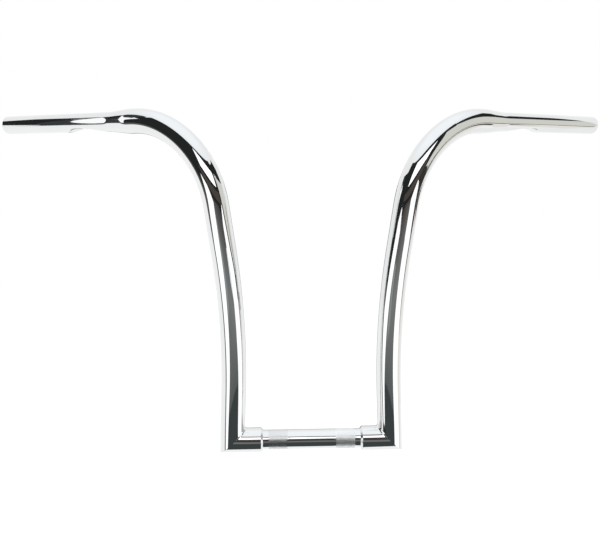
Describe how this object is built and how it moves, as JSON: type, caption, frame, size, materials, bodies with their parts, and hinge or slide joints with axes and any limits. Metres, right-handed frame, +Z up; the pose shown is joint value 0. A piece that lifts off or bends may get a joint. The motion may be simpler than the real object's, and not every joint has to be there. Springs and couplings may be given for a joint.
{
  "type": "ape hanger handlebar",
  "caption": "Chromed ape hanger handlebar: welded tube with a knurled clamp bar, tall bowed legs, swept-back grip ends and wire dimples.",
  "frame": {"origin": "middle of the clamp bar, on its axis", "axes": "+X along the clamp bar, to the right as seen from the front of the motorcycle; +Y back towards the rider; +Z up the legs"},
  "size_m": [0.8802, 0.2136, 0.4471],
  "materials": {
    "chrome": "mirror chrome plate"
  },
  "bodies": {
    "root": {"clamp_bar": "chrome", "left_base_stub": "chrome", "right_base_stub": "chrome", "left_riser": "chrome", "right_riser": "chrome", "left_corner_weld": "chrome", "right_corner_weld": "chrome", "left_shoulder_weld": "chrome", "right_shoulder_weld": "chrome"}
  },
  "joints": []
}
